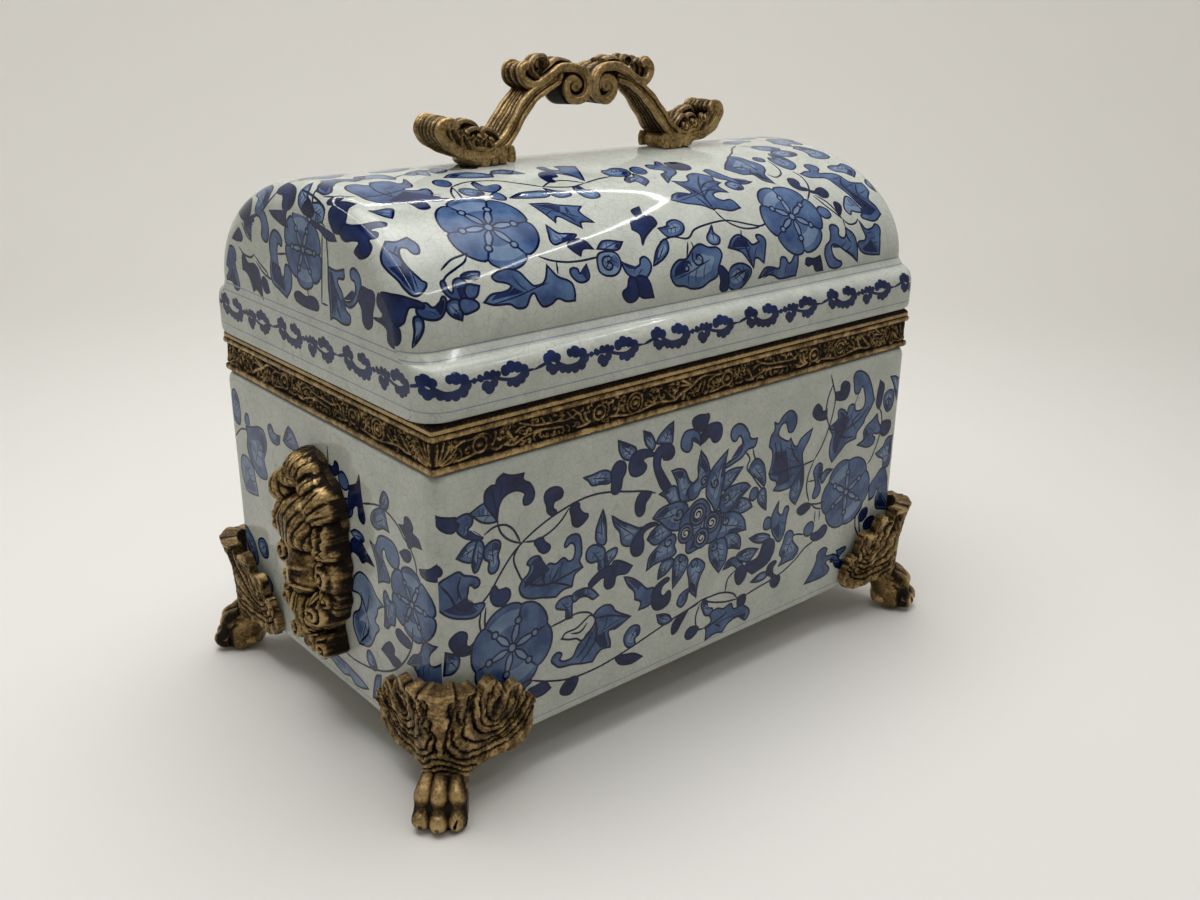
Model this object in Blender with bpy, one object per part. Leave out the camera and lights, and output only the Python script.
"""Porcelain trinket box with cast bronze mounts.

Metres, +Z up, standing on z = 0. X runs along the length, the front is -Y and the hinges are at +Y.
Every piece is one object and one closed solid. The lid's pieces hang on an empty on the hinge axis.
"""
from math import cos, pi, radians, sin, sqrt

import bmesh
import bpy
import numpy as np
from mathutils import Matrix, Vector

# Porcelain body
BODY_LENGTH = 0.260
BODY_WIDTH = 0.162
BODY_HEIGHT = 0.1127
BODY_LIFT = 0.0185
BODY_WALL = 0.0065
BODY_FLOOR = 0.008
BODY_CORNER = 0.0070
BODY_EDGE = 0.0025
SHOULDER_RUN = 0.0030
SHOULDER_RISE = 0.0042
INNER_CORNER = 0.006
INNER_FLOOR_ROUND = 0.005

# Gap left between pieces that touch on the real box
FIT = 0.0003

# Bronze collar round the neck of the body
COLLAR_INSET = 0.0012
COLLAR_HEIGHT = 0.014
COLLAR_WALL = 0.0024
COLLAR_TOP = 0.0016
COLLAR_CORNER = 0.0012
FRIEZE_RECESS = 0.0008
LOWER_BEAD = 0.0024
UPPER_BEAD = 0.0030
BEAD_SWELL = 0.0006

# Bronze rim under the lid
RIM_HEIGHT = 0.0033
RIM_EDGE = 0.0011
RIM_COVE = 0.0022
RIM_COVE_CORNER = 0.0034
RIM_UPSTAND = 0.0055
RIM_UPSTAND_WALL = 0.0014

# Porcelain lid
LID_OVERHANG = 0.0013
LID_WALL = 0.0065
LID_CORNER = 0.0100
LID_EDGE = 0.0030
BAND_HEIGHT = 0.0125
BAND_ROUND = 0.0068
GROOVE_HEIGHT = 0.0030
DOME_STEP = 0.0012
DOME_HEIGHT = 0.0475
DOME_CROWN = 0.0012
DOME_POWER = 2.05

# Cast scroll handle
HANDLE_SPAN = 0.154
HANDLE_HEIGHT = 0.0415
HANDLE_WIDTH = 0.0178
ARM_THICK = 0.0060
SHELL_THICK = 0.0046
CURL_THICK = 0.0034
CURL_WIDTH = 0.0125
VOLUTE_RADIUS = 0.0092
VOLUTE_WIDTH = 0.0164
KNOB_RADIUS = 0.0032
KNOB_WIDTH = 0.0100
PAD_LENGTH = 0.025
PAD_WIDTH = 0.0164
PAD_HEIGHT = 0.0088
PAD_ROUND = 0.0020
FOOT_CURL_RADIUS = 0.0042
FOOT_CURL_WIDTH = 0.0070
FOOT_CURL_SPREAD = 0.0046

# Handle screws and washers
SCREW_PLACE_SHARE = 0.33
SCREW_RADIUS = 0.0020
SCREW_HEAD_RADIUS = 0.0040
SCREW_HEAD = 0.0024
SCREW_SLOT = 0.0010
SCREW_SLOT_DEPTH = 0.0011
SCREW_GRIP = 0.0058
WASHER_RADIUS = 0.0062
WASHER_THICK = 0.0010
HOLE_PLAY = 0.0004

# Corner feet
PAW_LENGTH = 0.0230
PAW_WIDTH = 0.0205
PAW_REACH = 0.0158
BRACKET_THICK = 0.0024
BRACKET_WING = 0.0240
BRACKET_LAP = 0.0018
LEAF_HEIGHT = 0.0370
LEAF_WING = 0.0370
LEAF_THICK = 0.0034
LEAF_SPINE = 0.0034
LEAF_SPINE_WIDTH = 0.0070
LEAF_FLARE = 0.0054
LEAF_HOLLOW_SHARE = 0.7

# Relief masks on the two ends
MASK_HEIGHT = 0.086
MASK_WIDTH = 0.047
MASK_RELIEF = 0.0180
MASK_LIFT = 0.0575
MASK_EDGE = 0.0028

# Rear hinges
HINGE_PLACE_SHARE = 0.2885
HINGE_WIDTH = 0.030
LEAF_PLATE = 0.0013
BODY_LEAF_DROP = 0.0100
LID_LEAF_RISE = 0.0029
KNUCKLE_RADIUS = 0.0026
LID_KNUCKLE = 0.0120
PIN_RADIUS = 0.0011
PIN_HEAD_RADIUS = 0.0019
PIN_HEAD = 0.0007

# Cutters run past what they cut by this much
OVERRUN = 0.002

# Fineness of round shapes
ARC_STEPS = 3
CORNER_STEPS = 4
ROUND_SIDES = 16
ARCH_STEPS = 12
PATH_STEPS = 3

# Levels and places that follow from the sizes above
HALF_LENGTH = BODY_LENGTH / 2
HALF_WIDTH = BODY_WIDTH / 2
COLLAR_LENGTH = HALF_LENGTH - COLLAR_INSET
COLLAR_WIDTH = HALF_WIDTH - COLLAR_INSET
LID_LENGTH = HALF_LENGTH + LID_OVERHANG
LID_WIDTH = HALF_WIDTH + LID_OVERHANG
NECK_INSET = COLLAR_INSET + COLLAR_WALL + FIT
BODY_TOP = BODY_LIFT + BODY_HEIGHT
COLLAR_BOTTOM = BODY_TOP + FIT
COLLAR_LEVEL = COLLAR_BOTTOM + COLLAR_HEIGHT
NECK_TOP = COLLAR_LEVEL - COLLAR_TOP - FIT
RIM_BOTTOM = COLLAR_LEVEL + FIT
RIM_LEVEL = RIM_BOTTOM + RIM_HEIGHT
LID_BOTTOM = RIM_LEVEL + FIT
BAND_TOP = LID_BOTTOM + BAND_HEIGHT
DOME_BASE = BAND_TOP + BAND_ROUND + GROOVE_HEIGHT
DOME_HALF = LID_WIDTH - BAND_ROUND - DOME_STEP
RIDGE = DOME_BASE + DOME_HEIGHT
HINGE_Y = COLLAR_WIDTH + BEAD_SWELL + FIT + KNUCKLE_RADIUS
HINGE_Z = (COLLAR_LEVEL + RIM_BOTTOM) / 2
SCREW_PLACE = HANDLE_SPAN * SCREW_PLACE_SHARE
SCREW_TIP = RIDGE + SCREW_GRIP
HINGE_PLACE = BODY_LENGTH * HINGE_PLACE_SHARE


def clear_scene():
    for item in list(bpy.data.objects):
        bpy.data.objects.remove(item, do_unlink=True)


def material(name, colour, roughness, metallic):
    made = bpy.data.materials.new(name)
    made.use_nodes = True
    shader = made.node_tree.nodes["Principled BSDF"]
    shader.inputs["Base Color"].default_value = (*colour, 1)
    shader.inputs["Roughness"].default_value = roughness
    shader.inputs["Metallic"].default_value = metallic
    return made


def make_object(name, vertices, faces, finish, smooth_angle=None):
    """One object from points and faces, with its normals turned outward."""
    mesh = bpy.data.meshes.new(name)
    mesh.from_pydata([tuple(map(float, v)) for v in vertices], [], faces)
    work = bmesh.new()
    work.from_mesh(mesh)
    bmesh.ops.recalc_face_normals(work, faces=work.faces)
    work.to_mesh(mesh)
    work.free()
    mesh.materials.append(finish)
    if smooth_angle is not None:
        mesh.shade_smooth()
        mesh.set_sharp_from_angle(angle=radians(smooth_angle))
    made = bpy.data.objects.new(name, mesh)
    bpy.context.scene.collection.objects.link(made)
    return made


def combine(target, other, operation):
    """Join or cut with another object, which is used up."""
    step = target.modifiers.new(operation.lower(), "BOOLEAN")
    step.operation = operation
    step.solver = "EXACT"
    step.object = other
    view = bpy.context.evaluated_depsgraph_get()
    result = bpy.data.meshes.new_from_object(target.evaluated_get(view))
    result.name = target.name
    target.modifiers.clear()
    target.data = result
    bpy.data.objects.remove(other, do_unlink=True)


def arc(centre_a, centre_b, radius_a, radius_b, start, end, steps=ARC_STEPS):
    """Points on an elliptical arc in a plane, both ends included, angles in degrees."""
    angles = np.radians(np.linspace(start, end, steps + 1))
    return [(centre_a + radius_a * cos(t), centre_b + radius_b * sin(t)) for t in angles]


def rounded_rectangle(half_x, half_y, radius, height):
    """A ring of points round a rectangle with round corners, the same count for any radius."""
    ring = []
    for quarter, (sign_x, sign_y) in enumerate([(1, 1), (-1, 1), (-1, -1), (1, -1)]):
        start = 90 * quarter
        centre_x = sign_x * (half_x - radius)
        centre_y = sign_y * (half_y - radius)
        corner = arc(centre_x, centre_y, radius, radius, start, start + 90, CORNER_STEPS)
        ring += [(x, y, height) for x, y in corner]
    return ring


def circle(radius, height, sides=ROUND_SIDES):
    angles = [2 * pi * (k + 0.5) / sides for k in range(sides)]
    return [(radius * cos(a), radius * sin(a), height) for a in angles]


def stack(rings, closed=False, ladder=False):
    """Skin rings of equal count. An open stack is capped by one face, or by rungs across the ring."""
    count = len(rings[0])
    vertices = [point for ring in rings for point in ring]
    faces = []
    for layer in range(len(rings) if closed else len(rings) - 1):
        low = layer * count
        high = (layer + 1) % len(rings) * count
        for i in range(count):
            j = (i + 1) % count
            faces.append((low + i, low + j, high + j, high + i))
    if not closed:
        for start in (0, (len(rings) - 1) * count):
            if ladder:
                for k in range(count // 2 - 1):
                    far = start + count - 1 - k
                    faces.append((start + k, start + k + 1, far - 1, far))
            else:
                faces.append(tuple(range(start, start + count)))
    return vertices, faces


def box_frame(name, profile, finish, closed):
    """A profile of (inset from the body's outline, height, corner radius) carried round the box."""
    rings = [
        rounded_rectangle(HALF_LENGTH - inset, HALF_WIDTH - inset, corner, height)
        for inset, height, corner in profile
    ]
    return make_object(name, *stack(rings, closed), finish, 35)


def turned(name, profile, finish, closed=False, sides=ROUND_SIDES):
    """A body turned round +Z from (radius, height) points; closed for a body with a bore."""
    rings = [circle(radius, height, sides) for radius, height in profile]
    return make_object(name, *stack(rings, closed), finish, 35)


def lay_along_x(piece, centre):
    piece.data.transform(Matrix.Translation(centre) @ Matrix.Rotation(pi / 2, 4, "Y"))


def drum(name, radius, width, centre, finish, edge):
    """A short cylinder along Y with a bevel at each rim, for volutes and curls."""
    half = width / 2
    profile = [(radius - edge, -half), (radius, edge - half), (radius, half - edge), (radius - edge, half)]
    made = turned(name, profile, finish)
    made.data.transform(Matrix.Translation(centre) @ Matrix.Rotation(pi / 2, 4, "X"))
    return made


def block(name, low, high, finish, bevel=0.0):
    """A box between two corners, with its edges bevelled where a bevel is given."""
    vertices = [(x, y, z) for x in (low[0], high[0]) for y in (low[1], high[1]) for z in (low[2], high[2])]
    faces = [(0, 1, 3, 2), (4, 6, 7, 5), (0, 4, 5, 1), (2, 3, 7, 6), (0, 2, 6, 4), (1, 5, 7, 3)]
    made = make_object(name, vertices, faces, finish)
    if bevel:
        work = bmesh.new()
        work.from_mesh(made.data)
        bmesh.ops.bevel(work, geom=work.edges[:], offset=bevel, segments=2, profile=0.5, affect="EDGES")
        work.to_mesh(made.data)
        work.free()
    return made


def smooth_path(points, steps=PATH_STEPS):
    """Catmull-Rom curve through the points, with steps between each two."""
    route = [Vector(p) for p in points]
    route = [2 * route[0] - route[1]] + route + [2 * route[-1] - route[-2]]
    path = []
    for a, b, c, d in zip(route, route[1:], route[2:], route[3:]):
        for k in range(steps):
            t = k / steps
            bend = 2 * a - 5 * b + 4 * c - d
            twist = 3 * b - a - 3 * c + d
            path.append((2 * b + (c - a) * t + bend * t**2 + twist * t**3) / 2)
    path.append(route[-2])
    return path


def strap(name, route, width, thickness, finish):
    """A flat bar with bevelled edges, carried along a route of (x, z) points in the plane y = 0."""
    path = smooth_path([(x, 0, z) for x, z in route])
    half_w = width / 2
    half_t = thickness / 2
    bevel = thickness / 4
    quarter = [(half_w - bevel, half_t), (half_w, half_t - bevel)]
    lower = [(y, -n) for y, n in reversed(quarter)]
    section = quarter + lower + [(-y, n) for y, n in reversed(quarter + lower)]
    rings = []
    for i, point in enumerate(path):
        ahead = (path[min(i + 1, len(path) - 1)] - path[max(i - 1, 0)]).normalized()
        normal = Vector((-ahead.z, 0, ahead.x))
        rings.append([point + Vector((0, y, 0)) + n * normal for y, n in section])
    return make_object(name, *stack(rings), finish, 40)


def body_shell(finish):
    """Outside from the foot up to the neck, then down the inside wall to the floor."""
    bottom = BODY_LIFT
    floor = BODY_LIFT + BODY_FLOOR
    neck_corner = BODY_CORNER - NECK_INSET
    profile = []
    for inset, height in arc(BODY_EDGE, bottom + BODY_EDGE, BODY_EDGE, BODY_EDGE, 270, 180):
        profile.append((inset, height, BODY_CORNER - inset))
    shoulder = BODY_TOP - SHOULDER_RISE
    for inset, height in arc(SHOULDER_RUN, shoulder, SHOULDER_RUN, SHOULDER_RISE, 180, 90):
        profile.append((inset, height, BODY_CORNER - inset))
    profile += [(NECK_INSET, BODY_TOP, neck_corner), (NECK_INSET, NECK_TOP, neck_corner)]
    profile += [(BODY_WALL, NECK_TOP, INNER_CORNER)]
    centre = BODY_WALL + INNER_FLOOR_ROUND
    rounding = INNER_FLOOR_ROUND
    for inset, height in arc(centre, floor + rounding, rounding, rounding, 180, 270):
        profile.append((inset, height, INNER_CORNER + BODY_WALL - inset))
    return box_frame("body_shell", profile, finish, False)


def body_collar(finish):
    """Two beads with a sunk frieze between them, and a flange over the porcelain neck."""
    low = COLLAR_BOTTOM
    top = COLLAR_LEVEL
    outside = [
        (0, low),
        (-BEAD_SWELL, low + LOWER_BEAD / 2),
        (0, low + LOWER_BEAD),
        (FRIEZE_RECESS, low + LOWER_BEAD + FRIEZE_RECESS),
        (FRIEZE_RECESS, top - UPPER_BEAD - FRIEZE_RECESS),
        (0, top - UPPER_BEAD),
        (-BEAD_SWELL, top - UPPER_BEAD / 2),
        (0, top),
    ]
    pocket = COLLAR_INSET + COLLAR_WALL
    pocket_corner = BODY_CORNER - pocket
    profile = [(COLLAR_INSET + inset, height, COLLAR_CORNER) for inset, height in outside]
    profile += [(BODY_WALL, top, INNER_CORNER), (BODY_WALL, top - COLLAR_TOP, INNER_CORNER)]
    profile += [(pocket, top - COLLAR_TOP, pocket_corner), (pocket, low, pocket_corner)]
    return box_frame("body_collar", profile, finish, True)


def lid_rim(finish):
    """A thin edge and a cove running up and in to the lid, with an upstand inside the lid's wall."""
    low = RIM_BOTTOM
    top = RIM_LEVEL
    outer = LID_WALL - LID_OVERHANG + FIT
    inner = outer + RIM_UPSTAND_WALL
    profile = [(COLLAR_INSET, low, COLLAR_CORNER)]
    for run, height in arc(0, top, RIM_COVE, RIM_HEIGHT - RIM_EDGE, 270, 360):
        corner = COLLAR_CORNER + (RIM_COVE_CORNER - COLLAR_CORNER) * run / RIM_COVE
        profile.append((COLLAR_INSET + run, height, corner))
    profile += [(outer, top, INNER_CORNER), (outer, top + RIM_UPSTAND, INNER_CORNER)]
    profile += [(inner, top + RIM_UPSTAND, INNER_CORNER), (inner, low, INNER_CORNER)]
    return box_frame("lid_rim", profile, finish, True)


def arch(half, height, steps=ARCH_STEPS):
    """Half of the vault's section from its springing nearly to the ridge, as shares of a power curve."""
    points = []
    for angle in np.radians(np.linspace(0, 88, steps + 1)):
        points.append((half * cos(angle) ** (2 / DOME_POWER), height * sin(angle) ** (2 / DOME_POWER)))
    return points


def vault_ring(y, z, rise, end, corner, half, height, crown):
    """One ring round the vault through (y, z), with its four upright edges rounded by corner.

    rise is the point's height above the springing: it shrinks towards the ends as the half width does,
    and it bows down by the crown towards the ends.
    """
    side = []
    angles = np.radians(np.linspace(0, 90, CORNER_STEPS + 1))
    stations = [(end - corner * (1 - cos(a)), corner * (1 - sin(a))) for a in angles]
    stations += [(end / 2, 0), (0, 0)]
    stations += [(-x, inset) for x, inset in reversed(stations[:-1])]
    for x, inset in stations:
        scale = (height - inset) / height if rise > 0 else 1
        shrink = (half - inset) / half if rise > 0 else (y - inset) / y
        drop = crown * (x / end) ** 2 * rise / height
        side.append((x, y * shrink, z - rise + rise * scale - drop))
    return side + [(x, -y_, z_) for x, y_, z_ in reversed(side)]


def vault_outside(grow=0.0):
    """Rings over the outside of the lid from its lower edge to the ridge, grown for a cutter."""
    end = LID_LENGTH + grow
    half = DOME_HALF + grow
    height = DOME_HEIGHT + grow
    corner = LID_CORNER
    rings = []
    for y, z in arc(LID_WIDTH - LID_EDGE, LID_BOTTOM + LID_EDGE, LID_EDGE, LID_EDGE, 270, 360):
        inset = LID_WIDTH - y
        rings.append(vault_ring(y + grow, z, 0, end - inset, corner, half, height, DOME_CROWN))
    for y, z in arc(LID_WIDTH - BAND_ROUND, BAND_TOP, BAND_ROUND, BAND_ROUND, 0, 80):
        rings.append(vault_ring(y + grow, z, 0, end, corner, half, height, DOME_CROWN))
    for y, rise in arch(half, height):
        rings.append(vault_ring(y, DOME_BASE + rise, rise, end, corner, half, height, DOME_CROWN))
    return rings


def vault_inside():
    """Rings up the inside of the lid, a wall's thickness in."""
    end = LID_LENGTH - LID_WALL
    half = DOME_HALF - LID_WALL
    height = DOME_HEIGHT - LID_WALL
    corner = INNER_CORNER
    straight = LID_WIDTH - LID_WALL
    rings = [
        vault_ring(straight, LID_BOTTOM, 0, end, corner, half, height, DOME_CROWN),
        vault_ring(straight, BAND_TOP, 0, end, corner, half, height, DOME_CROWN),
    ]
    for y, rise in arch(half, height):
        rings.append(vault_ring(y, DOME_BASE + rise, rise, end, corner, half, height, DOME_CROWN))
    return rings


def lid_shell(finish):
    rings = list(reversed(vault_inside())) + vault_outside()
    lid = make_object("lid_shell", *stack(rings, ladder=True), finish, 35)
    radius = SCREW_RADIUS + HOLE_PLAY
    for side in (-1, 1):
        bore = turned("screw_hole", [(radius, RIDGE - 2 * LID_WALL), (radius, SCREW_TIP)], finish)
        bore.data.transform(Matrix.Translation((side * SCREW_PLACE, 0, 0)))
        combine(lid, bore, "DIFFERENCE")
    return lid


def handle_half(side, finish):
    """The solids of one half of the handle; places are shares of its half span and its height."""
    span = HANDLE_SPAN / 2
    rise = HANDLE_HEIGHT
    shell_shares = [(0.60, 0.10), (0.76, 0.11), (0.91, 0.20), (0.972, 0.33), (0.955, 0.405), (0.90, 0.415)]
    arm_shares = [
        (0.76, 0.11), (0.63, 0.13), (0.53, 0.27), (0.44, 0.49), (0.35, 0.71), (0.23, 0.84), (0.11, 0.85),
    ]
    curl_shares = [(0.24, 0.82), (0.33, 0.71), (0.41, 0.70), (0.445, 0.80), (0.41, 0.91)]
    volute_shares = (0.895, 0.655)
    volute_centre = (side * volute_shares[0] * VOLUTE_RADIUS, 0.0, RIDGE + volute_shares[1] * rise)
    knob_shares = (0.27, 0.905)
    foot_curl_shares = (0.76, 0.25)
    pad_share = 0.66

    def route(shares):
        return [(side * across * span, RIDGE + up * rise) for across, up in shares]

    def place(across, up, y=0.0):
        return (side * across * span, y, RIDGE + up * rise)

    centre = side * pad_share * span
    pieces = [
        strap("arm", route(arm_shares), HANDLE_WIDTH - CURL_THICK / 2, ARM_THICK, finish),
        strap("shell", route(shell_shares), HANDLE_WIDTH, SHELL_THICK, finish),
        strap("curl", route(curl_shares), CURL_WIDTH, CURL_THICK, finish),
        drum("volute", VOLUTE_RADIUS, VOLUTE_WIDTH, volute_centre, finish, VOLUTE_RADIUS / 6),
        drum("knob", KNOB_RADIUS, KNOB_WIDTH, place(*knob_shares), finish, KNOB_RADIUS / 3),
        block(
            "pad",
            (centre - PAD_LENGTH / 2, -PAD_WIDTH / 2, RIDGE - PAD_ROUND),
            (centre + PAD_LENGTH / 2, PAD_WIDTH / 2, RIDGE + PAD_HEIGHT - PAD_ROUND),
            finish,
            PAD_ROUND,
        ),
    ]
    for hand in (-1, 1):
        spot = place(*foot_curl_shares, hand * FOOT_CURL_SPREAD)
        edge = FOOT_CURL_RADIUS / 4
        pieces.append(drum("foot_curl", FOOT_CURL_RADIUS, FOOT_CURL_WIDTH, spot, finish, edge))
    return pieces


def handle(finish):
    pieces = handle_half(1, finish) + handle_half(-1, finish)
    made = pieces[0]
    for other in pieces[1:]:
        combine(made, other, "UNION")
    seat = make_object("seat", *stack(vault_outside(FIT), ladder=True), finish)
    combine(made, seat, "DIFFERENCE")
    radius = SCREW_RADIUS + FIT
    for side in (-1, 1):
        bore = turned("thread", [(radius, RIDGE - OVERRUN), (radius, SCREW_TIP + FIT)], finish)
        bore.data.transform(Matrix.Translation((side * SCREW_PLACE, 0, 0)))
        combine(made, bore, "DIFFERENCE")
    made.name = "handle"
    made.data.shade_smooth()
    made.data.set_sharp_from_angle(angle=radians(35))
    return made


def washer_top():
    """The washer meets the vault at its own rim, where the vault is lower than at the ridge."""
    half = DOME_HALF - LID_WALL
    height = DOME_HEIGHT - LID_WALL
    reach = (1 - (WASHER_RADIUS / half) ** DOME_POWER) ** (1 / DOME_POWER)
    bow = DOME_CROWN * ((SCREW_PLACE + WASHER_RADIUS) / (LID_LENGTH - LID_WALL)) ** 2
    return DOME_BASE + height * reach - bow - FIT


def handle_screw(side, name, finish):
    """A slotted cheese head under the washer and a shank up into the handle's pad."""
    under = washer_top() - WASHER_THICK - FIT
    low = under - SCREW_HEAD
    edge = SCREW_HEAD / 4
    profile = [(SCREW_HEAD_RADIUS - edge, low), (SCREW_HEAD_RADIUS, low + edge), (SCREW_HEAD_RADIUS, under)]
    chamfer = SCREW_RADIUS / 2
    profile += [(SCREW_RADIUS, under), (SCREW_RADIUS, SCREW_TIP - chamfer), (chamfer, SCREW_TIP)]
    screw = turned(name, profile, finish)
    half = SCREW_SLOT / 2
    reach = SCREW_HEAD_RADIUS + OVERRUN
    slot = block("slot", (-reach, -half, low - OVERRUN), (reach, half, low + SCREW_SLOT_DEPTH), finish)
    combine(screw, slot, "DIFFERENCE")
    screw.location.x = side * SCREW_PLACE
    return screw


def handle_washer(side, name, finish):
    top = washer_top()
    bore = SCREW_RADIUS + HOLE_PLAY
    low = top - WASHER_THICK
    profile = [(bore, low), (WASHER_RADIUS, low), (WASHER_RADIUS, top), (bore, top)]
    washer = turned(name, profile, finish, closed=True)
    washer.location.x = side * SCREW_PLACE
    return washer


def wrap(along, out, height):
    """A point on the body's corner, in the corner's own frame with the body towards -X and -Y.

    along runs from the middle of the round corner, minus on to one face and plus on to the other;
    out is the distance from the glaze.
    """
    quarter = BODY_CORNER * pi / 4
    if abs(along) <= quarter:
        angle = pi / 4 + along / BODY_CORNER
        reach = BODY_CORNER + out
        return (reach * cos(angle) - BODY_CORNER, reach * sin(angle) - BODY_CORNER, height)
    back = -BODY_CORNER - (abs(along) - quarter)
    return (back, out, height) if along > 0 else (out, back, height)


def outline(shares, place):
    """The value at a place, straight between neighbours in a table of shares."""
    return float(np.interp(place, [s[0] for s in shares], [s[1] for s in shares]))


def foot_leaf(finish):
    """The acanthus leaf wrapped round the corner: scalloped on top, thick at the spine, flared out."""
    top_shares = [
        (0, 0.985), (0.10, 1.0), (0.20, 0.94), (0.27, 0.84), (0.38, 0.90), (0.50, 0.84),
        (0.57, 0.71), (0.68, 0.74), (0.80, 0.64), (0.85, 0.51), (0.93, 0.50), (1.0, 0.36),
    ]
    low_shares = [(0, -0.065), (0.75, -0.065), (0.90, 0.0), (1.0, 0.12)]
    up_shares = [0, 0.22, 0.5, 0.78, 1.0]
    across = sorted({s[0] for s in top_shares} | {-s[0] for s in top_shares})
    columns = []
    for share in across:
        along = share * LEAF_WING
        low = outline(low_shares, abs(share)) * LEAF_HEIGHT
        high = outline(top_shares, abs(share)) * LEAF_HEIGHT
        spine = LEAF_SPINE * 2 ** (-((along / LEAF_SPINE_WIDTH) ** 2))
        edge = 1 - abs(share) / 2
        front = []
        back = []
        for up in up_shares:
            height = BODY_LIFT + low + (high - low) * up
            flare = LEAF_FLARE * edge * up**3
            front.append(wrap(along, LEAF_THICK + spine + flare, height))
            back.append(wrap(along, FIT + LEAF_HOLLOW_SHARE * flare, height))
        columns.append(front + list(reversed(back)))
    return make_object("leaf", *stack(columns), finish, 35)


def foot_bracket(finish):
    """A plate under the body's corner, lapping out under the leaf."""
    places = np.linspace(-BRACKET_WING, BRACKET_WING, 9)
    rings = []
    for height in (BODY_LIFT - BRACKET_THICK, BODY_LIFT - FIT):
        rings.append([wrap(place, BRACKET_LAP, height) for place in places])
    return make_object("bracket", *stack(rings), finish)


def foot_paw(finish):
    """Ankle and three-toed paw as level slices; the slices are shares of the paw's size."""
    slice_shares = [
        (0.000, 0.450, 0.455, 0.00), (0.075, 0.500, 0.500, 0.00), (0.300, 0.500, 0.500, 0.00),
        (0.510, 0.455, 0.485, -0.04), (0.690, 0.390, 0.440, -0.19), (0.800, 0.300, 0.395, -0.31),
        (0.930, 0.300, 0.400, -0.34),
    ]
    toe_groove_share = 0.10
    sides = 24
    rings = []
    for up, deep, wide, shift in slice_shares:
        ring = []
        for k in range(sides):
            angle = 2 * pi * k / sides
            front = max(0, cos(angle))
            toe = 1 - toe_groove_share * front * (1 - abs(cos(3 * angle)))
            out = PAW_REACH - PAW_LENGTH / 2 + (shift + deep * cos(angle) * toe) * PAW_LENGTH
            side = wide * sin(angle) * PAW_WIDTH
            ring.append(((out - side) / sqrt(2), (out + side) / sqrt(2), up * BODY_LIFT))
        rings.append(ring)
    return make_object("paw", *stack(rings), finish, 40)


def foot_mesh(finish):
    foot = foot_leaf(finish)
    combine(foot, foot_bracket(finish), "UNION")
    combine(foot, foot_paw(finish), "UNION")
    foot.data.shade_smooth()
    foot.data.set_sharp_from_angle(angle=radians(35))
    mesh = foot.data
    bpy.data.objects.remove(foot, do_unlink=True)
    return mesh


def feet(finish):
    """One foot's mesh at all four corners, turned a quarter each time."""
    mesh = foot_mesh(finish)
    corners = [
        ("foot_back_right", 1, 1),
        ("foot_back_left", -1, 1),
        ("foot_front_left", -1, -1),
        ("foot_front_right", 1, -1),
    ]
    made = []
    for turn, (name, sign_x, sign_y) in enumerate(corners):
        foot = bpy.data.objects.new(name, mesh)
        bpy.context.scene.collection.objects.link(foot)
        foot.location = (sign_x * HALF_LENGTH, sign_y * HALF_WIDTH, 0)
        foot.rotation_euler.z = turn * pi / 2
        made.append(foot)
    return made


def mask_relief(v, w):
    """Height of the relief as a share, at v across and w up, each from -1 to 1: the highest swell."""
    swell_shares = [
        (0, 0.84, 0.46, 0.20, 0.66), (0.50, 0.52, 0.50, 0.27, 0.86), (0, 0.40, 0.60, 0.40, 0.80),
        (0, 0.02, 0.52, 0.46, 0.93), (0, -0.03, 0.16, 0.20, 1.00), (0.62, 0.02, 0.42, 0.40, 0.62),
        (0, -0.45, 0.55, 0.38, 0.84), (0.40, -0.55, 0.40, 0.36, 0.66), (0.34, -0.84, 0.32, 0.20, 0.58),
    ]
    best = 0.0
    for centre_v, centre_w, reach_v, reach_w, tall in swell_shares:
        far = ((abs(v) - centre_v) / reach_v) ** 2 + ((w - centre_w) / reach_w) ** 2
        best = max(best, tall * sqrt(max(0.0, 1 - far)))
    return best


def mask(finish):
    """A relief on a flat back, from the outline in to the middle; its back lies on x = 0, facing -X."""
    outline_shares = [
        (0, 1.0), (0.34, 0.97), (0.50, 0.84), (0.80, 0.74), (0.98, 0.52), (0.93, 0.26), (0.98, 0.02),
        (0.90, -0.24), (0.86, -0.46), (0.68, -0.64), (0.66, -0.86), (0.40, -1.0), (0, -0.95),
    ]
    full = outline_shares + [(-v, w) for v, w in reversed(outline_shares[1:-1])]
    rise = MASK_RELIEF - MASK_EDGE
    shrink_shares = (1.0, 0.88, 0.72, 0.54, 0.36, 0.18)
    rings = [[(0, v * MASK_WIDTH / 2, w * MASK_HEIGHT / 2) for v, w in full]]
    for shrink in shrink_shares:
        ring = []
        for v, w in full:
            out = MASK_EDGE + (rise * mask_relief(v * shrink, w * shrink) if shrink < 1 else 0)
            ring.append((-out, v * shrink * MASK_WIDTH / 2, w * shrink * MASK_HEIGHT / 2))
        rings.append(ring)
    return make_object("mask_left", *stack(rings), finish, 40)


def masks(finish):
    left = mask(finish)
    right = bpy.data.objects.new("mask_right", left.data)
    bpy.context.scene.collection.objects.link(right)
    for piece, side in ((left, -1), (right, 1)):
        piece.location = (side * (HALF_LENGTH + FIT), 0, BODY_LIFT + MASK_LIFT)
    right.rotation_euler.z = pi
    return [left, right]


def knuckle_bore(place, finish):
    bore = turned("bore", [(PIN_RADIUS + FIT, -HINGE_WIDTH), (PIN_RADIUS + FIT, HINGE_WIDTH)], finish)
    lay_along_x(bore, (place, HINGE_Y, HINGE_Z))
    return bore


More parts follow.
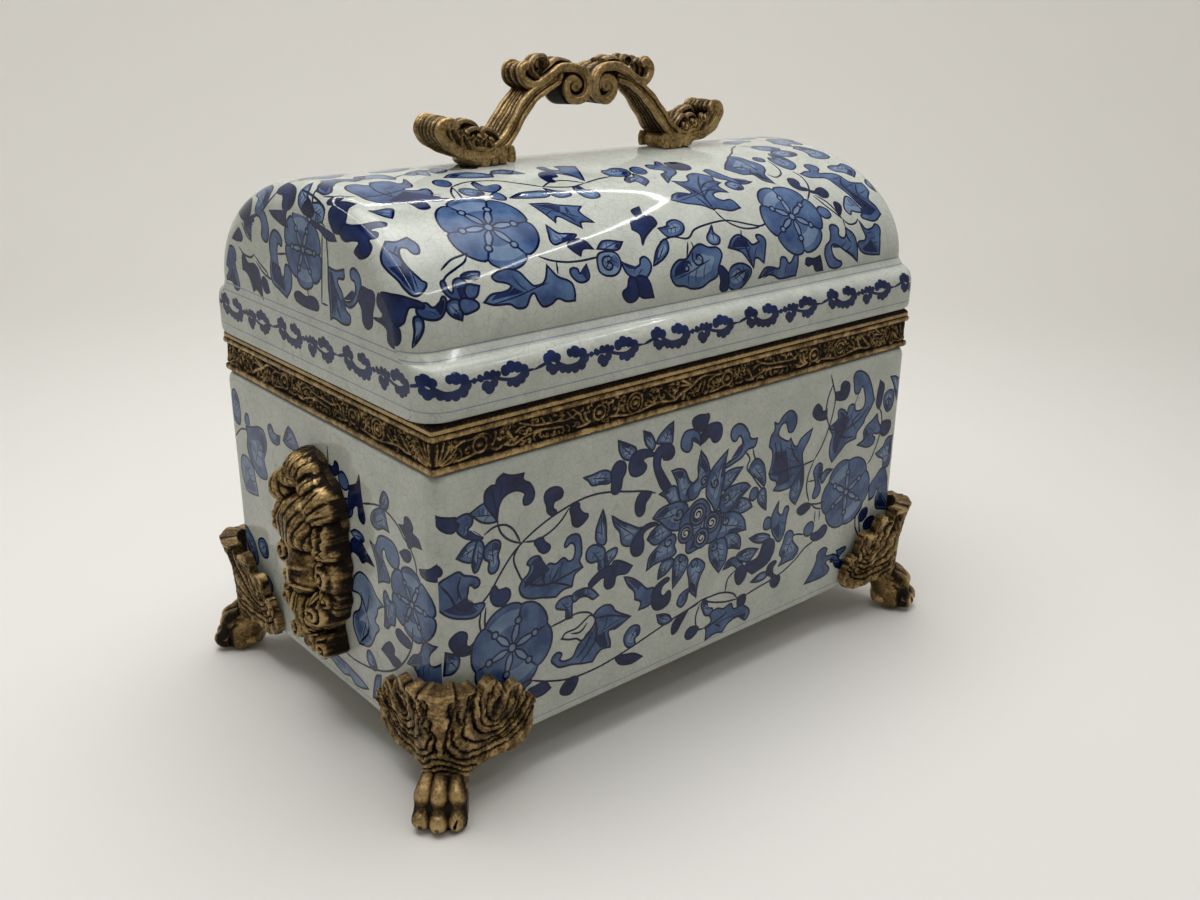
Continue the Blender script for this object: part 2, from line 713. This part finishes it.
def hinge_body_leaf(place, name, finish):
    """A plate on the collar with a knuckle at each end and a slot for the lid's knuckle between them."""
    face = COLLAR_WIDTH + BEAD_SWELL + FIT
    half = HINGE_WIDTH / 2
    low = HINGE_Z - BODY_LEAF_DROP
    leaf = block(name, (place - half, face, low), (place + half, face + LEAF_PLATE, HINGE_Z), finish)
    barrel = turned("barrel", [(KNUCKLE_RADIUS, -half - FIT), (KNUCKLE_RADIUS, half + FIT)], finish)
    lay_along_x(barrel, (place, HINGE_Y, HINGE_Z))
    combine(leaf, barrel, "UNION")
    gap = LID_KNUCKLE / 2 + FIT
    drop = KNUCKLE_RADIUS + FIT
    reach = HINGE_Y + KNUCKLE_RADIUS + OVERRUN
    high = HINGE_Z + KNUCKLE_RADIUS + OVERRUN
    slot = block("slot", (place - gap, COLLAR_WIDTH, HINGE_Z - drop), (place + gap, reach, high), finish)
    combine(leaf, slot, "DIFFERENCE")
    combine(leaf, knuckle_bore(place, finish), "DIFFERENCE")
    return leaf


def hinge_lid_leaf(place, name, finish):
    """A short tab on the lid's rim with one knuckle."""
    face = COLLAR_WIDTH + FIT
    half = LID_KNUCKLE / 2
    depth = HINGE_Y - KNUCKLE_RADIUS + LEAF_PLATE
    tab = half - FIT
    top = RIM_BOTTOM + LID_LEAF_RISE
    leaf = block(name, (place - tab, face, RIM_BOTTOM), (place + tab, depth, top), finish)
    barrel = turned("barrel", [(KNUCKLE_RADIUS, -half), (KNUCKLE_RADIUS, half)], finish)
    lay_along_x(barrel, (place, HINGE_Y, HINGE_Z))
    combine(leaf, barrel, "UNION")
    combine(leaf, knuckle_bore(place, finish), "DIFFERENCE")
    return leaf


def hinge_pin(place, name, finish):
    """A pin through the knuckles with a low head at each end."""
    inner = HINGE_WIDTH / 2 + 2 * FIT
    outer = inner + PIN_HEAD
    edge = PIN_HEAD / 2
    half_profile = [(PIN_HEAD_RADIUS - edge, outer), (PIN_HEAD_RADIUS, outer - edge)]
    half_profile += [(PIN_HEAD_RADIUS, inner), (PIN_RADIUS, inner)]
    profile = [(radius, -x) for radius, x in half_profile] + list(reversed(half_profile))
    pin = turned(name, profile, finish)
    lay_along_x(pin, (place, HINGE_Y, HINGE_Z))
    return pin


def main():
    clear_scene()
    porcelain = material("glazed_porcelain", (0.60, 0.63, 0.60), 0.12, 0.0)
    bronze = material("cast_bronze", (0.36, 0.25, 0.11), 0.42, 1.0)
    strip = material("pressed_bronze", (0.40, 0.28, 0.12), 0.38, 1.0)
    brass = material("hinge_brass", (0.55, 0.42, 0.19), 0.35, 1.0)
    steel = material("plated_steel", (0.55, 0.54, 0.50), 0.30, 1.0)

    body_shell(porcelain)
    body_collar(strip)
    feet(bronze)
    masks(bronze)

    lid_pieces = [lid_shell(porcelain), lid_rim(strip), handle(bronze)]
    for side, hand in ((-1, "left"), (1, "right")):
        lid_pieces.append(handle_screw(side, f"handle_screw_{hand}", steel))
        lid_pieces.append(handle_washer(side, f"handle_washer_{hand}", steel))
        place = side * HINGE_PLACE
        hinge_body_leaf(place, f"hinge_{hand}_body_leaf", brass)
        lid_pieces.append(hinge_lid_leaf(place, f"hinge_{hand}_lid_leaf", brass))
        hinge_pin(place, f"hinge_{hand}_pin", brass)

    axis = bpy.data.objects.new("lid_axis", None)
    axis.location = (0, HINGE_Y, HINGE_Z)
    bpy.context.scene.collection.objects.link(axis)
    bpy.context.view_layer.update()
    for piece in lid_pieces:
        piece.parent = axis
        piece.matrix_parent_inverse = axis.matrix_world.inverted()


main()
